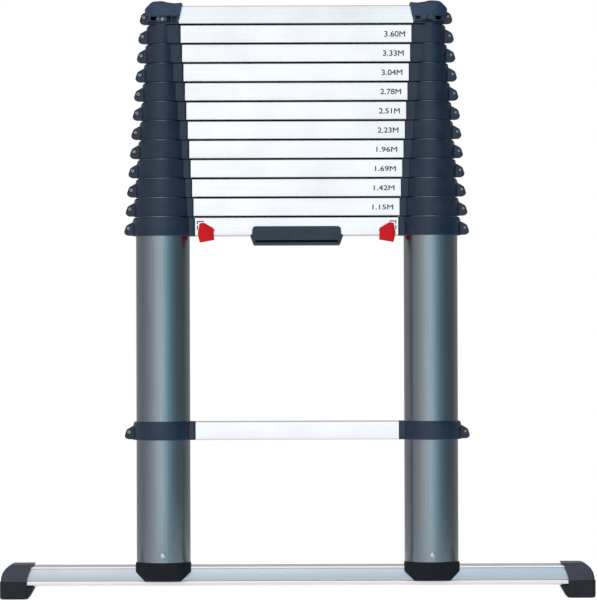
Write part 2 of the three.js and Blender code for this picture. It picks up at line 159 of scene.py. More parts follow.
def loft(rings, closed=False):
    """Points and faces through rings of equal length; capped, or closed on itself."""
    count = len(rings[0])
    verts = [point for ring in rings for point in ring]
    faces = []
    pairs = len(rings) if closed else len(rings) - 1
    for i in range(pairs):
        a, b = i * count, ((i + 1) % len(rings)) * count
        for j in range(count):
            n = (j + 1) % count
            faces.append((a + j, a + n, b + n, b + j))
    if not closed:
        faces.append(tuple(reversed(range(count))))
        faces.append(tuple(range(len(verts) - count, len(verts))))
    return verts, faces


def fillet(corners, steps=5):
    """An outline from (u, v, radius) corners, each rounded by an arc."""
    points = []
    for i, (u, v, radius) in enumerate(corners):
        here = Vector((u, v))
        back = (Vector(corners[i - 1][:2]) - here).normalized()
        ahead = (Vector(corners[(i + 1) % len(corners)][:2]) - here).normalized()
        half = math.acos(max(-1, min(1, back.dot(ahead)))) / 2
        if radius <= 0 or half > math.pi / 2 - 1e-3:
            points.append((u, v))
            continue
        run = radius / math.tan(half)
        centre = here + (back + ahead).normalized() * (radius / math.sin(half))
        start, end = here + back * run - centre, here + ahead * run - centre
        sweep = math.atan2(start.x * end.y - start.y * end.x, start.dot(end))
        for s in range(steps + 1):
            turned = Matrix.Rotation(sweep * s / steps, 2) @ start
            points.append(tuple(centre + turned))
    return points


def box_outline(u0, u1, v0, v1, radius, steps=5):
    """A rectangle with rounded corners."""
    return fillet([(u0, v0, radius), (u1, v0, radius), (u1, v1, radius), (u0, v1, radius)], steps)


def circle(radius, sides=64, u=0.0, v=0.0):
    angles = [2 * math.pi * i / sides for i in range(sides)]
    return [(u + radius * math.cos(a), v + radius * math.sin(a)) for a in angles]


def arc(u, v, radius_u, radius_v, start, end, steps=8):
    """Points on an ellipse between two angles in degrees."""
    angles = [math.radians(start + (end - start) * i / steps) for i in range(steps + 1)]
    return [(u + radius_u * math.cos(a), v + radius_v * math.sin(a)) for a in angles]


def inset(points, distance):
    """The outline moved inwards, or outwards for a negative distance."""
    count = len(points)
    area = sum(points[i - 1][0] * points[i][1] - points[i][0] * points[i - 1][1]
               for i in range(count))
    side = distance if area > 0 else -distance
    moved = []
    for i in range(count):
        here = Vector(points[i])
        before = (here - Vector(points[i - 1])).normalized()
        after = (Vector(points[(i + 1) % count]) - here).normalized()
        normal_a, normal_b = Vector((-before.y, before.x)), Vector((-after.y, after.x))
        mitre = normal_a + normal_b
        mitre = mitre / max(mitre.dot(normal_a), 0.2)
        moved.append(tuple(here + mitre * side))
    return moved


def rounded_rims(h0, h1, r0, r1, steps=4):
    """(inset, height) pairs of a slab from h0 to h1 with its two rims rounded."""
    pairs = []
    for s in range(steps + 1 if r0 else 1):
        a = math.pi / 2 * s / steps
        pairs.append((r0 * (1 - math.sin(a)), h0 + r0 * (1 - math.cos(a))))
    for s in range(steps + 1 if r1 else 1):
        a = math.pi / 2 * s / steps
        pairs.append((r1 * (1 - math.cos(a)), h1 - r1 * (1 - math.sin(a))))
    return pairs


def prism(name, outline, h0, h1, rims=(0.5, 0.5), matrix=UPRIGHT, steps=4):
    """An outline pushed from h0 to h1, with its rims rounded."""
    rings = [[(u, v, h) for u, v in inset(outline, d)]
             for d, h in rounded_rims(h0, h1, rims[0], rims[1], steps)]
    return solid(name, *loft(rings), matrix)


def extrusion(name, outer, inner, half, matrix):
    """A tube of any outline, open at both ends, that reaches as far up as down."""
    rings = [[(u, v, h) for u, v in outline] for outline, h in (
        (inner, -half), (outer, -half), (outer, half), (inner, half))]
    return solid(name, *loft(rings, closed=True), matrix)


def revolve(name, profile, matrix=UPRIGHT, sides=64, closed=False):
    """A (radius, height) profile turned round Z. An open one starts and ends with caps."""
    rings = [[(u, v, h) for u, v in circle(max(r, 1e-3), sides)] for r, h in profile]
    return solid(name, *loft(rings, closed), matrix)


def boolean(target, tool, operation):
    """Joins, cuts or keeps what is common, and removes the tool."""
    change = target.modifiers.new("boolean", "BOOLEAN")
    change.operation = operation
    change.solver = "EXACT"
    change.object = tool
    graph = bpy.context.evaluated_depsgraph_get()
    mesh = bpy.data.meshes.new_from_object(target.evaluated_get(graph))
    target.modifiers.clear()
    target.data = mesh
    bpy.data.meshes.remove(tool.data)
    return target


def union(target, *tools):
    for tool in tools:
        boolean(target, tool, "UNION")
    return target


def cut(target, *tools):
    for tool in tools:
        boolean(target, tool, "DIFFERENCE")
    return target


def copied(source, name, matrix):
    """A second piece of the same shape, moved by a matrix in millimetres."""
    piece = bpy.data.objects.new(name, source.data.copy())
    scale = Matrix.Scale(MM, 4)
    piece.data.transform(scale @ matrix @ scale.inverted())
    bpy.context.scene.collection.objects.link(piece)
    return piece


def dress(piece, material, body, nodes=(), sharp=32):
    """Shades a finished piece, gives it its material and fixes it to its body."""
    mesh = piece.data
    mesh.materials.clear()
    mesh.materials.append(material)
    mesh.shade_smooth()
    mesh.set_sharp_from_angle(angle=math.radians(sharp))
    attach(piece, body)
    if nodes:
        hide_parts(*nodes)
    return piece


# ---------------------------------------------------------------- materials
class Nodes:
    """A node tree under construction, with short names for the usual nodes."""

    def __init__(self, tree):
        self.tree = tree

    def feed(self, target, value):
        """Links a socket's output to an input, or sets the input to a value."""
        if isinstance(value, bpy.types.NodeSocket):
            self.tree.links.new(value, target)
        else:
            target.default_value = value

    def add(self, kind, **values):
        """A new node with its inputs; an underscore in a name stands for a space."""
        node = self.tree.nodes.new(f"ShaderNode{kind}")
        for name, value in values.items():
            self.feed(node.inputs[name.replace("_", " ")], value)
        return node

    def ramp(self, source, low, high, out_low=0, out_high=1):
        return self.add("MapRange", Value=source, From_Min=low, From_Max=high, To_Min=out_low,
                        To_Max=out_high).outputs["Result"]

    def mix(self, factor, first, second, blend="MIX"):
        node = self.tree.nodes.new("ShaderNodeMix")
        node.data_type = "RGBA"
        node.blend_type = blend
        self.feed(node.inputs["Factor"], factor)
        for name, value in (("A", first), ("B", second)):
            self.feed(node.inputs[name], (*value, 1) if isinstance(value, tuple) else value)
        return node.outputs["Result"]

    def math(self, operation, first, second):
        node = self.add("Math")
        node.operation = operation
        self.feed(node.inputs[0], first)
        self.feed(node.inputs[1], second)
        return node.outputs["Value"]

    def color_ramp(self, source, stops):
        """A smooth ramp through (position, color) stops, the first at 0 and the last at 1."""
        node = self.add("ValToRGB", Fac=source)
        node.color_ramp.interpolation = "EASE"
        elements = node.color_ramp.elements
        elements[0].color = (*stops[0][1], 1)
        elements[-1].color = (*stops[-1][1], 1)
        for position, color in stops[1:-1]:
            elements.new(position).color = (*color, 1)
        return node.outputs["Color"]


class Surface(Nodes):
    """A material under construction."""

    def __init__(self, name, color, roughness, metallic, specular=0.5):
        self.material = bpy.data.materials.new(name)
        self.material.use_nodes = True
        super().__init__(self.material.node_tree)
        self.inputs = self.tree.nodes["Principled BSDF"].inputs
        self.inputs["Base Color"].default_value = (*color, 1)
        self.inputs["Roughness"].default_value = roughness
        self.inputs["Metallic"].default_value = metallic
        self.inputs["Specular IOR Level"].default_value = specular
        self.place = self.add("TexCoord").outputs["Object"]

    def noise(self, stretch, detail=3, rough=0.55):
        """Noise between 0 and 1, with its own scale along each axis, per metre."""
        mapping = self.add("Mapping", Vector=self.place, Scale=stretch)
        return self.add("TexNoise", Vector=mapping.outputs["Vector"], Scale=1, Detail=detail,
                        Roughness=rough).outputs["Fac"]

    def edges(self, width):
        """1 along edges, within a width in metres, and 0 elsewhere."""
        dot = self.add("VectorMath")
        dot.operation = "DOT_PRODUCT"
        self.feed(dot.inputs[0], self.add("Bevel", Radius=width).outputs["Normal"])
        self.feed(dot.inputs[1], self.add("NewGeometry").outputs["Normal"])
        return self.ramp(dot.outputs["Value"], 0.99, 0.9)

    def set_color(self, source):
        self.feed(self.inputs["Base Color"], source)

    def set_roughness(self, source, low, high):
        self.feed(self.inputs["Roughness"], self.ramp(source, 0.3, 0.7, low, high))

    def bump(self, source, strength, distance):
        node = self.add("Bump", Strength=strength, Distance=distance, Height=source)
        self.feed(self.inputs["Normal"], node.outputs["Normal"])


def brushed_aluminium(name, color, roughness, along):
    """Extruded aluminium, with fine drawing lines along one axis ("x" or "z")."""
    nodes = Surface(name, color, roughness, 1.0)
    fine, broad = (25, 2600, 2600), (3, 260, 260)
    if along == "z":
        fine, broad = (2600, 2600, 25), (260, 260, 3)
    lines = nodes.noise(fine, 2)
    bands = nodes.noise(broad, 3)
    blotches = nodes.noise((14, 14, 14), 4)
    tone = nodes.mix(nodes.ramp(bands, 0.3, 0.7), tuple(c * 0.955 for c in color), color)
    worn = nodes.mix(nodes.ramp(blotches, 0.42, 0.75, 0, 0.35), tone, tuple(c * 0.9 for c in color))
    nodes.set_color(worn)
    nodes.set_roughness(nodes.math("MULTIPLY", nodes.math("ADD", lines, blotches), 0.5),
                        roughness * 0.85, roughness * 1.2)
    nodes.bump(lines, 0.12, 0.0001)
    return nodes.material


def anodised(name, color, roughness):
    """Dark anodised tube, drawn lengthwise, with faint handling marks."""
    nodes = Surface(name, color, roughness, 1.0)
    lines = nodes.noise((1500, 1500, 9), 2)
    smears = nodes.noise((30, 30, 7), 5, 0.6)
    scuffs = nodes.noise((240, 240, 90), 6, 0.7)
    tone = nodes.mix(nodes.ramp(lines, 0.3, 0.7), tuple(c * 0.9 for c in color),
                     tuple(min(c * 1.08, 1) for c in color))
    rubbed = nodes.mix(nodes.ramp(scuffs, 0.66, 0.78, 0, 0.22), tone, (0.42, 0.45, 0.47))
    nodes.set_color(rubbed)
    nodes.set_roughness(smears, roughness * 0.86, roughness * 1.16)
    nodes.bump(lines, 0.06, 0.0001)
    return nodes.material


def moulded(name, color, roughness, grain=1400, depth=0.00012, dust=0.1, wear=0.5, specular=0.5,
            ribs=0):
    """Moulded plastic or rubber with a fine spark-eroded grain, dust and rubbed edges."""
    nodes = Surface(name, color, roughness, 0.0, specular)
    skin = nodes.noise((grain, grain, grain), 2, 0.6)
    clouds = nodes.noise((38, 38, 38), 4, 0.6)
    pale = tuple(c + (0.16 - c * 0.3) * dust for c in color)
    tone = nodes.mix(nodes.ramp(clouds, 0.38, 0.72), color, pale)
    rubbed = nodes.mix(nodes.math("MULTIPLY", nodes.edges(0.0008), wear), tone,
                       tuple(c * 1.8 + 0.03 for c in color))
    nodes.set_color(rubbed)
    nodes.set_roughness(clouds, roughness * 0.88, roughness * 1.12)
    if ribs:
        wave = nodes.add("TexWave", Vector=nodes.place, Scale=ribs)
        skin = nodes.math("ADD", skin, wave.outputs["Fac"])
    nodes.bump(skin, 0.35, depth)
    return nodes.material


def plated(name, color, roughness):
    """Plated steel fasteners, with fine turning marks."""
    nodes = Surface(name, color, roughness, 1.0)
    marks = nodes.noise((700, 700, 700), 3)
    nodes.set_color(nodes.mix(nodes.ramp(marks, 0.3, 0.7), tuple(c * 0.8 for c in color), color))
    nodes.set_roughness(marks, roughness * 0.8, roughness * 1.3)
    nodes.bump(marks, 0.1, 0.0001)
    return nodes.material


def printed(name, color):
    """Screen-printed ink that lets a little of the metal through."""
    nodes = Surface(name, color, 0.5, 0.0)
    speckle = nodes.noise((2200, 2200, 2200), 3)
    nodes.set_color(nodes.mix(nodes.ramp(speckle, 0.6, 0.75, 0, 0.5), color,
                              tuple(c + 0.25 for c in color)))
    return nodes.material


RUNG_METAL = brushed_aluminium("rung_metal", (0.985, 0.918, 0.927), 0.34, "x")
# The top rung's copy of the rung aluminium is darker: painted shade.
SHADED_TOP_RUNG_METAL = brushed_aluminium("shaded_top_rung_metal", (0.90, 0.86, 0.87), 0.34, "x")
BAR_METAL = brushed_aluminium("bar_metal", (0.62, 0.665, 0.715), 0.34, "x")
TUBE_METAL = anodised("tube_metal", (0.253, 0.302, 0.333), 0.25)
BLACK_PLASTIC = moulded("black_plastic", (0.012, 0.028, 0.06), 0.34, specular=0.36)
BONNET_PLASTIC = moulded("bonnet_plastic", (0.034, 0.062, 0.125), 0.36, specular=0.36, ribs=95)
CAP_PLASTIC = moulded("cap_plastic", (0.052, 0.053, 0.08), 0.4, specular=0.3)
GRIP_PLASTIC = moulded("grip_plastic", (0.024, 0.043, 0.062), 0.48, grain=1100, depth=0.00018,
                       specular=0.35)
RED_PLASTIC = moulded("red_plastic", (0.86, 0.008, 0.014), 0.36, grain=1500, depth=0.00006,
                      dust=0.02, wear=0.1, specular=0.12)
RUBBER_GRAIN = {"grain": 1000, "depth": 0.0002}
FOOT_RUBBER = moulded("foot_rubber", (0.008, 0.011, 0.015), 0.55, dust=0.05, specular=0.15,
                      **RUBBER_GRAIN)
PAD_RUBBER = moulded("pad_rubber", (0.022, 0.024, 0.032), 0.55, dust=0.05, specular=0.15,
                     **RUBBER_GRAIN)
# Black for painted shade: the strips in the seams under the sliding rungs and in the grip's groove.
SHADE_BLACK = moulded("bumper_rubber", (0.002, 0.003, 0.005), 0.7, dust=0, wear=0, specular=0.05,
                        **RUBBER_GRAIN)
STEEL = plated("steel", (0.70, 0.71, 0.72), 0.26)
SCREW_STEEL = plated("screw_steel", (0.26, 0.27, 0.30), 0.38)
INK = printed("ink", (0.055, 0.065, 0.115))


# ---------------------------------------------------------------- tubes
TUBE_SOFT_EDGE = 0.25


def tube(name, radius, z0, z1, sides=96):
    inner, soft = radius - TUBE_WALL, TUBE_SOFT_EDGE
    profile = [(inner, z0 + soft), (inner + soft, z0), (radius - soft, z0), (radius, z0 + soft),
               (radius, z1 - soft), (radius - soft, z1), (inner + soft, z1), (inner, z1 - soft)]
    return revolve(name, profile, sides=sides, closed=True)


def add_tubes():
    for side, x in (("left", -STILE_X), ("right", STILE_X)):
        base = tube(f"base_tube.{side}", tube_radius(0), TUBE_LOW.z, TUBE_HIGH.z, 128)
        base.data.transform(shift(x * MM))
        dress(base, TUBE_METAL, "base", [f"base_tube_{side}"])
        for k in range(1, SECTIONS + 1):
            node = f"tube_{side}_{k:02d}"
            low, high = millimetres(node)
            inner = tube(f"inner_{node}", tube_radius(k), low.z, high.z)
            inner.data.transform(shift(x * MM))
            dress(inner, TUBE_METAL, f"section_{k:02d}", [node])


# ---------------------------------------------------------------- rungs
TREAD_GROOVES = 7
TREAD_PITCH = 4.4
GROOVE_HALF_TOP = 1.1
GROOVE_HALF_FLOOR = 0.6
GROOVE_DEPTH = 0.8
RUNG_WALL = 1.8
RUNG_CORNER = 2.0
CREASE_DEPTH = 0.35
CREASE_LOW, CREASE_HIGH = 11.5, 13.5
TOP_RUNG_TUCK = 2.4              # how much further the top rung reaches into its end caps
# The black strip under each sliding rung is painted shade in the seam between rungs.
SHADE_STRIP_END = 1.5
SHADE_STRIP_DROP, SHADE_STRIP_RISE = 1, 0.8


def rung_outline(creased):
    """Front to back (u) and upwards (v) from the underside, with a grooved tread.

    A creased front is set back a little above its middle.
    """
    half = RUNG_DEPTH / 2
    steps = 5
    points = fillet([(-half, 0, RUNG_CORNER), (half, 0, RUNG_CORNER),
                     (half, RUNG_HEIGHT, RUNG_CORNER), (-half, RUNG_HEIGHT, RUNG_CORNER)], steps)
    tread = []
    for g in range(TREAD_GROOVES):
        centre = (TREAD_GROOVES / 2 - 0.5 - g) * TREAD_PITCH
        tread += [(centre + GROOVE_HALF_TOP, RUNG_HEIGHT),
                  (centre + GROOVE_HALF_FLOOR, RUNG_HEIGHT - GROOVE_DEPTH),
                  (centre - GROOVE_HALF_FLOOR, RUNG_HEIGHT - GROOVE_DEPTH),
                  (centre - GROOVE_HALF_TOP, RUNG_HEIGHT)]
    before_tread = 3 * (steps + 1)
    front = points[before_tread:]
    if creased:
        front = [(u + CREASE_DEPTH, v) for u, v in front]
        front += [(-half + CREASE_DEPTH, CREASE_HIGH), (-half, CREASE_LOW)]
    return points[:before_tread] + tread + front


def rung(name, half_length, z, creased=False):
    """A hollow rung along X with its underside at z."""
    outer = rung_outline(creased)
    middle = RUNG_HEIGHT / 2
    across = 1 - 2 * RUNG_WALL / RUNG_DEPTH
    upwards = 1 - 2 * RUNG_WALL / RUNG_HEIGHT
    inner = [(u * across, middle + (v - middle) * upwards) for u, v in outer]
    return extrusion(name, outer, inner, half_length, shift(z=z) @ LENGTHWISE)


# ---------------------------------------------------------------- collars
COLLAR_SIDE = 22.5               # half the depth of the block that holds the rung
COLLAR_CORNER = 2.5
COLLAR_FIT = 0.2
COLLAR_FOOT = 1.0                # radius of the lower rim
COLLAR_RIM = 1.1                 # radius of the upper rim near the rung
FAR_FROM, FAR_SPREAD = 0.25, 0.6  # where the upper rim starts to change, by the angle's cosine
TOP_COLLAR_HEIGHT = 4.0          # the top collar is only a plate under its end cap
SPIGOT_INSET = 2.4
SPIGOT = 20                      # from the collar into the rung
SHORT_SPIGOT = 5                 # in the handle rung, where it leaves room for the release
LUG_HALF_DEPTH = 9.0
LUG_SLOT = 2.4
SCREW_X = 6.0
SCREW_Z = 11.8
SCREW_HOLE = 2.4
SCREW_RECESS = 4.7
SCREW_RECESS_DEPTH = 4.6


def collar_edge(angle, ring, reach):
    """From the stile's axis to the collar's outside, at an angle from its rung's direction."""
    c, s = math.cos(angle), abs(math.sin(angle))
    if c <= 0:
        return ring
    corner = Vector((reach - COLLAR_CORNER, COLLAR_SIDE - COLLAR_CORNER))
    if s * reach <= c * corner.y:
        return max(ring, reach / c)
    if s * corner.x >= c * COLLAR_SIDE:
        return max(ring, COLLAR_SIDE / s)
    along = corner.x * c + corner.y * s
    return max(ring, along + math.sqrt(max(along ** 2 - corner.length_squared
                                           + COLLAR_CORNER ** 2, 0)))


def collar_angles(ring, reach):
    """Even steps round the axis, closer together where the collar turns a corner."""
    angles = {round(math.pi * i / 60, 6) for i in range(121)}
    corner = math.atan2(COLLAR_SIDE, reach)
    meet = math.asin(min(COLLAR_SIDE / ring, 1))
    for centre, spread in ((corner, 0.09), (meet, 0.02)):
        for s in range(-4, 5):
            angles.add(round(centre + spread * s / 4, 6))
            angles.add(round(2 * math.pi - centre - spread * s / 4, 6))
    return sorted(a for a in angles if 0 <= a < 2 * math.pi - 1e-6)


def collar_shell(ring, reach, bore, height, far_rim):
    """The ring and its block towards the rung. Its upper rim is drawn in and lowered on the far
    side, by the two sizes in far_rim."""
    rings = []
    angles = collar_angles(ring, reach)
    draw, fall = far_rim[0] - COLLAR_RIM, far_rim[1] - COLLAR_RIM

    def loop(change, height_at):
        points = []
        for a in angles:
            far = min(max((-math.cos(a) - FAR_FROM) / FAR_SPREAD, 0), 1)
            far = far * far * (3 - 2 * far)
            radius = collar_edge(a, ring, reach) - change(far)
            points.append((radius * math.cos(a), radius * math.sin(a), height_at(far)))
        rings.append(points)

    steps = 4
    for s in range(steps + 1):
        a = math.pi / 2 * s / steps
        loop(lambda far, a=a: COLLAR_FOOT * (1 - math.sin(a)),
             lambda far, a=a: COLLAR_FOOT * (1 - math.cos(a)))
    for s in range(steps + 2):
        a = math.pi / 2 * s / (steps + 1)
        loop(lambda far, a=a: (COLLAR_RIM + draw * far) * (1 - math.cos(a)),
             lambda far, a=a: height - (COLLAR_RIM + fall * far) * (1 - math.sin(a)))
    for radius, z in ((bore + 0.5, height), (bore, height - 0.5), (bore, 0.5), (bore + 0.5, 0)):
        rings.append([(radius * math.cos(a), radius * math.sin(a), z) for a in angles])
    return solid("collar", *loft(rings, closed=True))


def lug_outline(ring):
    """The clamping lug from the front, on the far side of the ring."""
    return fillet([(-ring + 3, 21.6, 0), (-ring - 1.2, 20.8, 2), (-ring - 9.6, 15.8, 6),
                   (-ring - 13.6, 3.6, 4.6), (-ring - 7, 1.0, 6), (-ring + 3, 0.8, 0)])


def collar(k):
    """A collar round Z with its rung towards +X, its lug towards -X and its base on z = 0."""
    ring = tube_radius(k) + COLLAR_WALL
    reach = collar_reach(k)
    top = k == SECTIONS
    height = TOP_COLLAR_HEIGHT if top else RUNG_HEIGHT
    bore = tube_radius(k) + COLLAR_FIT
    piece = collar_shell(ring, reach, bore, height, (0.8, 0.8) if top else (3.4, 8.0 - 0.35 * k))
    outline = lug_outline(ring)
    for low, high in ((-LUG_HALF_DEPTH, -LUG_SLOT / 2), (LUG_SLOT / 2, LUG_HALF_DEPTH)):
        union(piece, prism("ear", outline, low, high, (1.0, 1.0), FRONTAL))
    spigot = box_outline(-RUNG_DEPTH / 2 + SPIGOT_INSET, RUNG_DEPTH / 2 - SPIGOT_INSET,
                         SPIGOT_INSET, RUNG_HEIGHT - 2.8, 2)
    union(piece, prism("spigot", spigot, reach - 1.5, reach + (SPIGOT if k else SHORT_SPIGOT),
                       (0, 1.2), LENGTHWISE))
    if top:
        neck = box_outline(-12, 12, 1, 24, 1.5)
        union(piece, cut(prism("neck", neck, 8, reach, (0, 0), LENGTHWISE),
                         revolve("bore", [(bore, -2), (bore, 40)])))
    slot = box_outline(-ring - 20, -tube_radius(k) + 1, -LUG_SLOT / 2, LUG_SLOT / 2, 0)
    screw = shift(-ring - SCREW_X, 0, SCREW_Z) @ FRONTAL
    recess = [(SCREW_RECESS, LUG_HALF_DEPTH - SCREW_RECESS_DEPTH),
              (SCREW_RECESS, LUG_HALF_DEPTH + 2)]
    cut(piece, prism("slot", slot, -1, height + 1, (0, 0)),
        revolve("recess", recess, screw, 40),
        revolve("shank", [(SCREW_HOLE, -12), (SCREW_HOLE, 12)], screw, 24))
    return piece


def clamp_screw(k):
    """A socket screw along Y through the lug of collar k, with its head at the front."""
    place = shift(-tube_radius(k) - COLLAR_WALL - SCREW_X, 0, SCREW_Z) @ FRONTAL
    seat = LUG_HALF_DEPTH - SCREW_RECESS_DEPTH
    head = revolve("screw", [(2.0, -7.5), (2.0, seat), (3.3, seat), (3.3, seat + 1.9),
                             (2.9, seat + 2.4), (1.9, seat + 2.6)], place, 32)
    return cut(head, prism("socket", circle(1.55, 6), seat + 0.6, seat + 4, (0, 0), place))


def add_collars():
    """Each collar and its screw on both stiles, the right ones turned half round."""
    for k in range(SECTIONS + 1):
        shape, screw = collar(k), clamp_screw(k)
        places = [(f"section_{k:02d}", f"{k:02d}", rung_z(k), [f"rung_{k:02d}"] * 2)]
        if k == 0:
            places = [("base", "handle", rung_z(0), ["handle_collar_left", "handle_collar_right"]),
                      ("base", "low", LOW_RUNG_LOW.z, ["low_collar_left", "low_collar_right"])]
        for body, label, z, nodes in places:
            for (side, x, turn), node in zip(SIDES, nodes):
                spot = shift(x, 0, z) @ turn
                dress(copied(shape, f"collar_{side}.{label}", spot), BLACK_PLASTIC, body,
                      [node])
                dress(copied(screw, f"clamp_screw_{side}.{label}", spot), SCREW_STEEL, body,
                      [node])
        for source in (shape, screw):
            bpy.data.meshes.remove(source.data)


def add_shade_strip(k):
    """A black strip under a sliding rung: painted shade in the seam above the rung below."""
    half = STILE_X - collar_reach(k) - SHADE_STRIP_END
    edge = RUNG_DEPTH / 2 - 0.05
    strip = fillet([(-edge, -SHADE_STRIP_DROP, 0.4), (edge, -SHADE_STRIP_DROP, 0.4),
                    (edge, SHADE_STRIP_RISE, 0.2), (-edge, SHADE_STRIP_RISE, 0.2)], 3)
    piece = prism(f"bumper_{k:02d}", strip, -half, half, (0.4, 0.4),
                  shift(z=rung_z(k)) @ LENGTHWISE)
    dress(piece, SHADE_BLACK, f"section_{k:02d}", [f"rung_{k:02d}"])


def add_rungs():
    for k in range(1, SECTIONS + 1):
        name = f"rung_{k:02d}"
        top = k == SECTIONS
        end = collar_reach(k) + (-TOP_RUNG_TUCK if top else GAP)
        piece = rung(f"tread_{k:02d}", STILE_X - end, rung_z(k), creased=top)
        # The top rung takes the darker copy of the rung aluminium, as painted shade.
        metal = SHADED_TOP_RUNG_METAL if top else RUNG_METAL
        dress(piece, metal, f"section_{k:02d}", [name])
        add_shade_strip(k)
    half = HANDLE_HIGH.x
    dress(rung("tread_handle", half, rung_z(0)), RUNG_METAL, "base", ["handle_rung"])
    dress(rung("tread_low", half, LOW_RUNG_LOW.z), RUNG_METAL, "base", ["low_rung"])


# ---------------------------------------------------------------- printed heights
HEIGHTS = ("1.15M", "1.42M", "1.69M", "1.96M", "2.23M", "2.51M", "2.78M", "3.04M", "3.33M", "3.60M")
TEXT_HEIGHT = 7.6
TEXT_GROWTH = 0.14               # each height is printed this much larger than the one below
TEXT_WIDTH = 31.8
TEXT_MARGIN = 9.6
TEXT_BOLDNESS = 0.02             # added all round each stroke, in type sizes
PRINT_DEPTH = 0.12


def lettering(name, words, right, middle, width, height, matrix):
    """Printed words as a thin solid: their right end, mid-height, width and height are given."""
    data = bpy.data.curves.new(name, "FONT")
    data.body = words
    data.extrude = PRINT_DEPTH / 2
    data.bevel_depth = TEXT_BOLDNESS
    data.bevel_resolution = 0
    letters = bpy.data.objects.new(name, data)
    bpy.context.scene.collection.objects.link(letters)
    graph = bpy.context.evaluated_depsgraph_get()
    mesh = bpy.data.meshes.new_from_object(letters.evaluated_get(graph))
    bpy.data.curves.remove(data)
    low = [min(v.co[i] for v in mesh.vertices) for i in range(3)]
    high = [max(v.co[i] for v in mesh.vertices) for i in range(3)]
    scale = (width / (high[0] - low[0]), height / (high[1] - low[1]), 1)
    for v in mesh.vertices:
        v.co = matrix @ Vector(((v.co.x - high[0]) * scale[0] + right,
                                (v.co.y - (low[1] + high[1]) / 2) * scale[1] + middle,
                                v.co.z)) * MM
    piece = bpy.data.objects.new(name, mesh)
    bpy.context.scene.collection.objects.link(piece)
    return piece


def add_heights():
    """The height reached by each rung, at its right-hand end."""
    face = shift(y=-RUNG_DEPTH / 2) @ FRONTAL
    for k, words in enumerate(HEIGHTS, 1):
        right = STILE_X - collar_reach(k) - TEXT_MARGIN
        piece = lettering(f"height_{k:02d}", words, right, rung_z(k) + RUNG_HEIGHT / 2 - 0.4,
                          TEXT_WIDTH, TEXT_HEIGHT + TEXT_GROWTH * k, face)
        dress(piece, INK, f"section_{k:02d}", [f"rung_{k:02d}"])


# ---------------------------------------------------------------- end caps of the top rung
BONNET_BRIM = 13.0               # above it the end cap spreads over the collar
BONNET_SKIRT = 4.2
SKIRT_INSET = 1.4
BONNET_ROOM = 0.4                # round the rung and the lug
BONNET_WINDOWS = ((-17.0, -5.5), (-3.3, 4.3), (5.8, 13.4), (14.9, 22.4))
WINDOW_LOW, WINDOW_HIGH = 5.5, 11.6


def bonnet():
    """Round the stile's axis with the rung towards +X, standing on the underside of the top rung."""
    depth = TOP_HIGH.y
    outer, inner = STILE_X - TOP_HIGH.x, STILE_X - TOP_LOW.x
    top = TOP_HIGH.z - rung_z(SECTIONS)
    brim, skirt_low = BONNET_BRIM, BONNET_SKIRT
    front = fillet([(outer, brim, 0.8), (outer + 0.2, 15.4, 1.2), (-26.8, 17.6, 1.5),
                    (-26.8, 23.6, 6), (-14.5, top - 1.2, 14), (0, top, 14), (9, top - 2.6, 14),
                    (19.5, top - 4, 12), (inner, top - 2.9, 2), (inner - 4.2, brim, 1)], 7)
    plan = fillet([(outer, -depth, depth - 1), (9, -depth, 16), (34, -depth + 2, 0),
                   (34, depth - 2, 0), (9, depth, 16), (outer, depth, depth - 1)], 9)
    side = fillet([(-depth, 0, 0), (depth, 0, 0), (depth, top, 9.5), (-depth, top, 9.5)], 7)
    hood = prism("hood", front, -depth - 1, depth + 1, (0, 0), FRONTAL)
    boolean(hood, prism("plan", plan, -5, THROUGH, (0, 0)), "INTERSECT")
    boolean(hood, prism("side", side, -THROUGH, THROUGH, (0, 0), LENGTHWISE), "INTERSECT")
    skirt_front = fillet([(-22.4, skirt_low, 0.6), (inner - 6.2, skirt_low, 1.6),
                          (inner - 4.0, brim + 1, 0), (-22.4, brim + 1, 0)], 4)
    skirt = prism("skirt", skirt_front, -depth + SKIRT_INSET, depth - SKIRT_INSET, (0.6, 0.6),
                  FRONTAL)
    boolean(skirt, prism("plan", inset(plan, SKIRT_INSET), -5, THROUGH, (0, 0)), "INTERSECT")
    union(hood, skirt)
    bore = tube_radius(SECTIONS) + 5.6
    pocket = box_outline(-RUNG_DEPTH / 2 - BONNET_ROOM, RUNG_DEPTH / 2 + BONNET_ROOM, -1,
                         RUNG_HEIGHT + BONNET_ROOM, 2)
    lug_slot = box_outline(-LUG_HALF_DEPTH - BONNET_ROOM, LUG_HALF_DEPTH + BONNET_ROOM, -1, 21.9, 0)
    cut(hood, prism("pocket", pocket, 14, THROUGH, (0, 0), LENGTHWISE),
        revolve("hollow", [(bore, -1), (bore, 25)], sides=48),
        prism("lug_slot", lug_slot, -THROUGH, -20, (0, 0), LENGTHWISE))
    for low, high in BONNET_WINDOWS:
        window = box_outline(low, high, WINDOW_LOW, WINDOW_HIGH, 0.9, 3)
        cut(hood, prism("window", window, -40, 40, (0, 0), FRONTAL))
    return hood


def add_bonnets():
    shape = bonnet()
    body = f"section_{SECTIONS:02d}"
    for side, x, turn in SIDES:
        spot = shift(x, 0, rung_z(SECTIONS)) @ turn
        dress(copied(shape, f"bonnet_{side}", spot), BONNET_PLASTIC, body,
              [f"top_cap_{side}"])
    bpy.data.meshes.remove(shape.data)


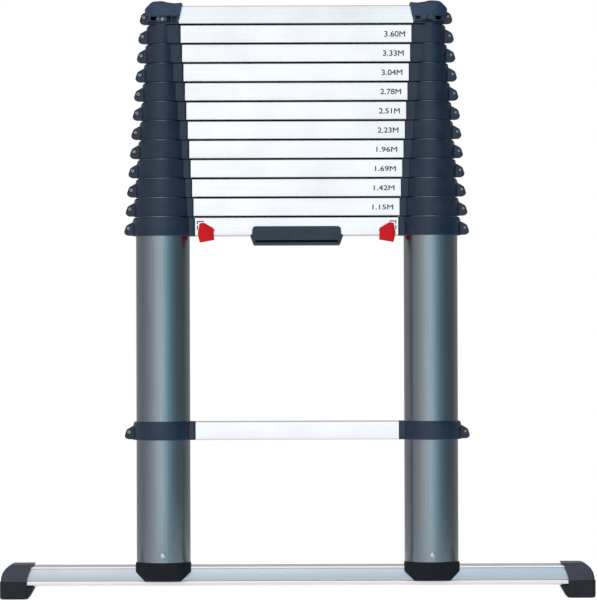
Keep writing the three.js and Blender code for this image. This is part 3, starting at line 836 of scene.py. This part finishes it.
# ---------------------------------------------------------------- releases and carrying grip
# Outlines: distance from the stile's axis, height above the rung's underside, corner radius.
BUTTON_FACE = ((56.4, 18.6, 1.8), (62.9, 19.9, 2.2), (77.2, 11.4, 3), (79.2, 8.1, 1.5),
               (77.8, 5.3, 1.5), (78.8, -6.6, 1.4), (56.6, -10.5, 2.0), (53.7, 2.9, 6))
BUTTON_RIDGE = ((58.4, 15.6, 1), (62.8, 16.6, 1.5), (74.4, 9.6, 1), (75.6, -4.2, 1),
                (58.8, -7.2, 1), (56.4, 2.9, 1))
BUTTON_BACK = RUNG_DEPTH / 2 + GAP
BUTTON_DEPTH = 5.4
BORE_OUT, BORE_UP = 62, 14       # the pin's hole in the button
PIN_HOLE = 3.3
LOCK_PIN = ((2.2, 39.7), (3.0, 40.6), (3.0, 66.3), (5.3, 66.3), (5.5, 66.5), (5.5, 67.8),
            (5.3, 68.0))         # radius, and distance from the stile's axis
MARKS = ((52.2, 63.0, 20.8, 22.5), (52.2, 54.0, 17.6, 22.5), (52.2, 54.0, 9.2, 15.4))


def inwards(x, distance):
    """Where a point lies at a distance from the stile at x, towards the ladder's middle."""
    return x - math.copysign(distance, x)


def add_releases():
    """The red buttons under the handle rung, with their lock pins and springs."""
    place = shift(z=rung_z(0)) @ FRONTAL
    front = BUTTON_BACK + BUTTON_DEPTH
    for side, x, turn in SIDES:
        face, ridge = (fillet([(inwards(x, a), b, r) for a, b, r in outline], steps)
                       for outline, steps in ((BUTTON_FACE, 4), (BUTTON_RIDGE, 3)))
        button = prism("button", face, BUTTON_BACK, front, (0.3, 1.2), place, 5)
        union(button, prism("ridge", ridge, front - 0.8, front + 1, (0, 0.8), place, 4))
        shelf = box_outline(*sorted((inwards(x, 58.0), inwards(x, 75.0))), -6.6, -0.4, 1.4, 4)
        union(button, prism("shelf", shelf, -6, BUTTON_BACK + 1, (1, 0), place))
        stem = box_outline(*sorted((inwards(x, 57.8), inwards(x, 66.0))), -2, 19.4, 0.6, 2)
        union(button, prism("stem", stem, -4, 4, (0.5, 0.5), place))
        bore_place = shift(inwards(x, BORE_OUT), 0, rung_z(0) + BORE_UP) @ LENGTHWISE
        cut(button, revolve("pin_bore", [(PIN_HOLE, -12), (PIN_HOLE, 12)], bore_place, 24))
        dress(button, RED_PLASTIC, f"release_{side}", [f"release_button_{side}"])

        pin_place = shift(x, 0, rung_z(0) + BORE_UP) @ turn @ LENGTHWISE
        dress(revolve(f"pin_{side}", LOCK_PIN, pin_place, 40), STEEL, f"release_{side}",
              [f"lock_pin_{side}"])
        add_release_marks(side, x)
        for slot_of in frame["nodes"][f"lock_spring_{side}"].material_slots:
            slot_of.material = STEEL


def add_release_marks(side, x):
    """A printed corner bracket beside each button."""
    place = shift(y=-RUNG_DEPTH / 2, z=rung_z(0)) @ FRONTAL
    marks = None
    for start, end, low, high in MARKS:
        outline = box_outline(*sorted((inwards(x, start), inwards(x, end))), low, high, 0.2, 2)
        mark = prism("mark", outline, -0.05, PRINT_DEPTH / 2, (0, 0), place)
        marks = mark if marks is None else union(marks, mark)
    marks.name = f"release_marks_{side}"
    dress(marks, INK, "base", ["handle_rung"])


GRIP_WALL = 4.2
GRIP_LOW, GRIP_HIGH = -14.5, 14.2
GRIP_GROOVE_LOW, GRIP_GROOVE_HIGH = -10.4, -6.8
GRIP_GROOVE_HALF = 63
GRIP_GROOVE_DEPTH = 2.4
GRIP_END, GRIP_END_RUN, GRIP_END_DRAW = 62, 8, 1.4   # past here, over this run, it thins by this


def add_grip():
    """A moulded grip wrapped under the handle rung, its ends drawn in above and below."""
    half = RUNG_DEPTH / 2 + GRIP_WALL
    hollow = RUNG_DEPTH / 2 + GAP
    rise, drop = GRIP_HIGH, GRIP_LOW
    place = shift(z=rung_z(0))
    section = fillet([(-half, rise, 1.6), (-half, drop, 10.5), (half, drop, 10.5), (half, rise, 1.6),
                      (hollow, rise, 1.2), (hollow, -0.3, 2.4), (-hollow, -0.3, 2.4),
                      (-hollow, rise, 1.2)], 7)
    grip = prism("grip", section, -72, 72, (0, 0), place @ LENGTHWISE)
    right = [(67.0, rise + 0.4, 6.4), (67.5, 2.2, 1.2), (70.5, -0.3, 0.8), (65.5, drop - 0.4, 4.2)]
    front = fillet([(-u, v, r) for u, v, r in reversed(right)] + right, 5)
    boolean(grip, prism("front", front, -THROUGH, THROUGH, (0, 0), place @ FRONTAL), "INTERSECT")
    for v in grip.data.vertices:
        x, y, z = v.co / MM
        soften = max(abs(x) - GRIP_END, 0) / GRIP_END_RUN
        v.co.y = (y - math.copysign(min(soften * soften, 1) * GRIP_END_DRAW, y)) * MM
    groove = box_outline(-GRIP_GROOVE_HALF, GRIP_GROOVE_HALF, GRIP_GROOVE_LOW, GRIP_GROOVE_HIGH,
                         1.2, 3)
    cut(grip, prism("groove", groove, half - GRIP_GROOVE_DEPTH, half + 5, (0, 0), place @ FRONTAL))
    dress(grip, GRIP_PLASTIC, "base", ["carry_grip"])
    # A black strip in the groove is painted shade.
    line = [(1.5 - half, -7), (3.7 - half, -7), (3.7 - half, -10.2), (2.5 - half, -10.2),
            (1.5 - half, -9.2)]
    end = GRIP_GROOVE_HALF - 0.4
    dress(prism("grip_groove_shade", line, -end, end, (0, 0), place @ LENGTHWISE), SHADE_BLACK, "base",
          ["carry_grip"])


# ---------------------------------------------------------------- feet and stabiliser bar
RIVET_Z = 67
BOLT_Y = 12
BOLT_HOLE = 3.4
BAR_WALL = 2.0
BAND_LOW, BAND_HIGH = 7.3, 2.7   # from the bar's underside, and from its top
BAND_DEPTH = 1.6
INLAY_SET_BACK = 0.7
INLAY_MARGIN = 0.9


def foot_plug():
    """Round the stile's axis, at its height above the floor."""
    radius, sole = PLUG_HIGH.y, PLUG_LOW.z
    lip = TUBE_LOW.z - GAP
    depth = radius + BAR_LOW.y
    plan = arc(0, BAR_LOW.y, radius, depth, 180, 360, 32) + arc(0, 0, radius, radius, 0, 180, 48)
    shoe = prism("foot_plug", plan, sole, lip, (0.8, 0.8))
    bevelled = fillet([(-radius - 1, 90, 0), (-radius - 1, sole + 15.6, 5), (-radius + 15, sole, 1.6),
                       (radius - 15, sole, 1.6), (radius + 1, sole + 15.6, 5), (radius + 1, 90, 0)], 5)
    boolean(shoe, prism("bevels", bevelled, -THROUGH, THROUGH, (0, 0), FRONTAL), "INTERSECT")
    insert = tube_radius(0) - TUBE_WALL - GAP
    union(shoe, revolve("insert", [(insert, lip - 1), (insert, PLUG_HIGH.z - 1),
                                   (insert - 1, PLUG_HIGH.z)], sides=64))
    arch = [(22 * (1 - t) * (1 + 0.6 * t), sole + 4 + 15.5 * t * (2 - t))
            for t in (i / 12 for i in range(13))]
    arch = [(-u, v) for u, v in reversed(arch)][:-1] + arch[::-1]
    slot = box_outline(-THROUGH, THROUGH, BAR_LOW.y - GAP, THROUGH, 0)
    cut(shoe, prism("bar_slot", slot, 0, BAR_HIGH.z + GAP, (0, 0)),
        prism("arch", arch, radius - 13, radius + 5, (1.5, 0), FRONTAL),
        revolve("well", [(27.9, lip + 3.3), (27.9, PLUG_HIGH.z + 2)], sides=48),
        revolve("rivet_bore", [(2.7, 30), (2.7, 60)], shift(z=RIVET_Z) @ FRONTAL, 24),
        revolve("bolt_bore", [(BOLT_HOLE, BAR_HIGH.z - 1), (BOLT_HOLE, 66)], shift(y=BOLT_Y), 24))
    return shoe


def foot_rivet():
    """Along -Y from the tube's wall, with a dished head."""
    wall = tube_radius(0)
    return revolve("foot_rivet", [(2.3, wall - 8), (2.3, wall - 0.2), (4.3, wall - 0.2),
                                  (4.4, wall + 0.6), (3.9, wall + 1.6), (2.6, wall + 2.3),
                                  (1.7, wall + 2.4), (1.5, wall + 1.5)],
                   shift(z=RIVET_Z) @ FRONTAL, 40)


def bar_bolt():
    """A hexagon head inside the bar, under its top wall, with its shank up into the plug."""
    inner = BAR_HIGH.z - BAR_WALL
    bolt = prism("bar_bolt", circle(6.5, 6), inner - 4.3, inner - GAP, (0.5, 0.2), shift(y=BOLT_Y))
    return union(bolt, revolve("shank", [(3, inner - 1), (3, 57)], shift(y=BOLT_Y), 24))


def add_feet():
    shapes = ((foot_plug(), "foot_plug", FOOT_RUBBER, "foot_rubber"),
              (foot_rivet(), "foot_rivet", STEEL, "steel"),
              (bar_bolt(), "bar_bolt", STEEL, "steel"))
    for shape, name, material, slot in shapes:
        for side, x, _ in SIDES:
            dress(copied(shape, f"{name}.{side}", shift(x)), material, "base",
                  [f"{name}_{side}"])
        bpy.data.meshes.remove(shape.data)


def add_bar():
    """A hollow extrusion with plain lips above and below a recessed band along its front."""
    front, back, low, high = BAR_LOW.y, BAR_HIGH.y, BAR_LOW.z, BAR_HIGH.z
    band_low, band_high, band, wall = low + BAND_LOW, high - BAND_HIGH, BAND_DEPTH, BAR_WALL
    outer = fillet([(front, low, 3), (back, low, 1.2), (back, high, 1.2), (front, high, 0.7),
                    (front, band_high, 0.4), (front + band, band_high - 0.8, 0.3),
                    (front + band, band_low + 0.8, 0.3), (front, band_low, 0.4)], 3)
    centre = (front + back) / 2, (low + high) / 2
    depth, height = (back - front) / 2, (high - low) / 2
    inner = []
    for u, v in inset(outer, wall):
        inner.append((min(max(u, centre[0] - depth + band + wall), centre[0] + depth - wall),
                      min(max(v, centre[1] - height + wall), centre[1] + height - wall)))
    half = BAR_HIGH.x
    bar = extrusion("bar", outer, inner, half, LENGTHWISE)
    for x in (-STILE_X, STILE_X):
        spot = shift(x, BOLT_Y)
        cut(bar, revolve("bolt_hole", [(BOLT_HOLE, high - 3), (BOLT_HOLE, high + 1)], spot, 24),
            revolve("access_hole", [(8, low - 1), (8, low + 3)], spot, 32))
    dress(bar, RUNG_METAL, "base", ["stabiliser_bar"])
    face, rear = front + INLAY_SET_BACK, front + band + 0.5
    bottom, top = band_low + INLAY_MARGIN, band_high - INLAY_MARGIN
    inlay = fillet([(face, bottom, 0.3), (rear, bottom, 0), (rear, top, 0), (face, top, 0.3)], 3)
    dress(prism("bar_band", inlay, -half, half, (0.3, 0.3), LENGTHWISE), BAR_METAL, "base",
          ["stabiliser_bar"])


CAP_LIP = 2.2
CAP_SEAM = 27                    # height of the line between the cover and the pad
SOLE_GROOVES = 5
SOLE_PITCH = 11


def cap_pocket():
    """The hollow in a bar cap for the end of the bar."""
    pocket = box_outline(BAR_LOW.y - GAP, BAR_HIGH.y + GAP, BAR_LOW.z - GAP, BAR_HIGH.z + GAP, 0.8, 2)
    return prism("pocket", pocket, CAP_LOW.x - 8, BAR_HIGH.x + GAP, (0, 0), LENGTHWISE)


def cap_cover(inner, seam):
    """The upper part of the right-hand bar cap, with a swept inner edge."""
    outer, top = CAP_HIGH.x, CAP_HIGH.z
    front, back = CAP_LOW.y + 0.6, CAP_HIGH.y - 0.6
    body = [(inner + 10.2, seam - 1), (outer - 1.6, seam - 1)]
    body += arc(outer - 22, seam - 1, 20.4, top - seam + 1, 0, 90, 14)[1:]
    body += [(inner + 1.4, top), (inner + 0.4, top - 0.9)]
    body += [(inner + 1.2 + 9 * (1 - (1 - t) ** 1.5), top - 1.4 - (top - seam - 0.4) * t)
             for t in (0.08, 0.2, 0.35, 0.5, 0.65, 0.8, 0.92)]
    cover = prism("cap_cover", body, -THROUGH, THROUGH, (0, 0), FRONTAL)
    plan = fillet([(inner - 2, front, 0), (outer - 0.6, front, 9), (outer - 0.6, back, 9),
                   (inner - 2, back, 0)], 7)
    boolean(cover, prism("plan", plan, -5, 80, (0, 0)), "INTERSECT")
    profile = fillet([(front, 0, 0), (back, 0, 0), (back, top, 3), (front, top, 3)], 6)
    boolean(cover, prism("profile", profile, inner - 5, outer + 5, (0, 0), LENGTHWISE), "INTERSECT")
    return cut(cover, cap_pocket())


def cap_pad(inner, seam):
    """The rubber pad below the cover, with its grooved sole reaching in under the bar."""
    outer, front, back = CAP_HIGH.x, CAP_LOW.y, CAP_HIGH.y
    plan = fillet([(inner + 9.3, front, 4.5), (outer, front, 9), (outer, back, 9),
                   (inner + 9.3, back, 4.5)], 7)
    pad = prism("cap_pad", plan, 0, seam, (4.0, 1.2), steps=6)
    sole = fillet([(inner + 14, 0.4, 0), (inner + 14, BAR_LOW.z - 0.6, 0),
                   (CAP_LOW.x, BAR_LOW.z - 0.6, 1.2), (inner + 8.4, 0.4, 2)], 4)
    union(pad, prism("sole", sole, -back + 6, -front - 3, (0.8, 0.8), FRONTAL))
    cut(pad, cap_pocket())
    for g in range(SOLE_GROOVES):
        y = front + 12 + g * SOLE_PITCH
        cut(pad, prism("groove", box_outline(y, y + 3, -1, 1.6, 0.5, 2), inner - 5, outer + 5,
                       (0, 0), LENGTHWISE))
    return pad


def add_bar_caps():
    """A cover and a pad at each end of the bar; the left ones are mirrored."""
    inner = CAP_LOW.x + CAP_LIP
    mirror = Matrix.Diagonal((-1, 1, 1, 1))
    for right, name, material in ((cap_cover(inner, CAP_SEAM), "bar_cap", CAP_PLASTIC),
                                  (cap_pad(inner, CAP_SEAM), "bar_pad", PAD_RUBBER)):
        left = copied(right, f"{name}.left", mirror)
        left.data.flip_normals()
        right.name = f"{name}.right"
        for piece, side in ((left, "left"), (right, "right")):
            dress(piece, material, "base", [f"bar_cap_{side}"])


# ---------------------------------------------------------------- floor and light
FLOOR_RADIUS = 0.95
FLOOR_GLOW = 0.42                # the light that the floor gives the ladder
FLOOR_GLOW_SEEN = 0.8            # its glow as it is seen, which keeps it pale in the shade


def add_floor():
    """A white disc just under the ladder."""
    mesh = bpy.data.meshes.new("floor")
    rim = circle(FLOOR_RADIUS, 96)
    mesh.from_pydata([(x, y, 0) for x, y in rim], [], [tuple(range(len(rim)))])
    floor = bpy.data.objects.new("floor", mesh)
    bpy.context.scene.collection.objects.link(floor)
    floor.location.z = -0.0002
    nodes = Surface("floor", (0.9, 0.9, 0.9), 0.9, 0.0, 0.0)
    nodes.inputs["Emission Color"].default_value = (1, 1, 1, 1)
    seen = nodes.add("LightPath").outputs["Is Camera Ray"]
    nodes.feed(nodes.inputs["Emission Strength"],
               nodes.ramp(seen, 0, 1, FLOOR_GLOW, FLOOR_GLOW_SEEN))
    mesh.materials.append(nodes.material)


# Brightness and tint of the studio round the ladder, by bearing in degrees from the front:
# negative bearings lie to the left.
STUDIO = [(-180, 0.5, (1, 1, 1.02)), (-138, 0.44, (1, 0.99, 1.02)), (-97, 0.4, (1.06, 0.98, 1.02)),
          (-68, 0.52, (1.06, 0.99, 1.01)), (-44, 0.78, (1.04, 1, 1.01)), (-22, 1.15, (1, 1, 1.01)),
          (-4, 1.32, (0.92, 1, 1.02)), (10, 1.08, (0.8, 1, 1.06)), (24, 0.68, (0.64, 0.97, 1.15)),
          (44, 0.36, (0.66, 0.97, 1.12)), (68, 0.22, (0.72, 0.96, 1.06)), (97, 0.2, (0.95, 0.97, 1.06)),
          (138, 0.36, (1, 1, 1.03)), (180, 0.5, (1, 1, 1.02))]
# The same by height: the height of a direction on the unit sphere, and how bright it is there.
STUDIO_HEIGHTS = [(-1, 0.3), (-0.5, 0.3), (-0.25, 1), (0.3, 1), (0.7, 0.75), (1, 0.75)]


def add_world():
    """White to the camera; to the ladder, a studio with its softbox at the front left."""
    world = bpy.data.worlds.new("world")
    bpy.context.scene.world = world
    world.use_nodes = True
    nodes = Nodes(world.node_tree)
    axes = nodes.add("SeparateXYZ", Vector=nodes.add("TexCoord").outputs["Generated"]).outputs
    bearing = nodes.math("ARCTAN2", axes["X"], nodes.math("MULTIPLY", axes["Y"], -1))
    around = nodes.color_ramp(nodes.ramp(bearing, -math.pi, math.pi),
                              [((degrees + 180) / 360, [level * c for c in tint])
                               for degrees, level, tint in STUDIO])
    upwards = nodes.color_ramp(nodes.ramp(axes["Z"], -1, 1),
                               [((z + 1) / 2, [level] * 3) for z, level in STUDIO_HEIGHTS])
    studio = nodes.mix(1, around, upwards, "MULTIPLY")
    seen = nodes.add("LightPath").outputs["Is Camera Ray"]
    nodes.feed(nodes.tree.nodes["Background"].inputs["Color"], nodes.mix(seen, studio, (1, 1, 1)))


bpy.context.scene.view_settings.view_transform = "Standard"
add_tubes()
add_rungs()
add_collars()
add_heights()
add_bonnets()
add_releases()
add_grip()
add_feet()
add_bar()
add_bar_caps()
add_floor()
add_world()
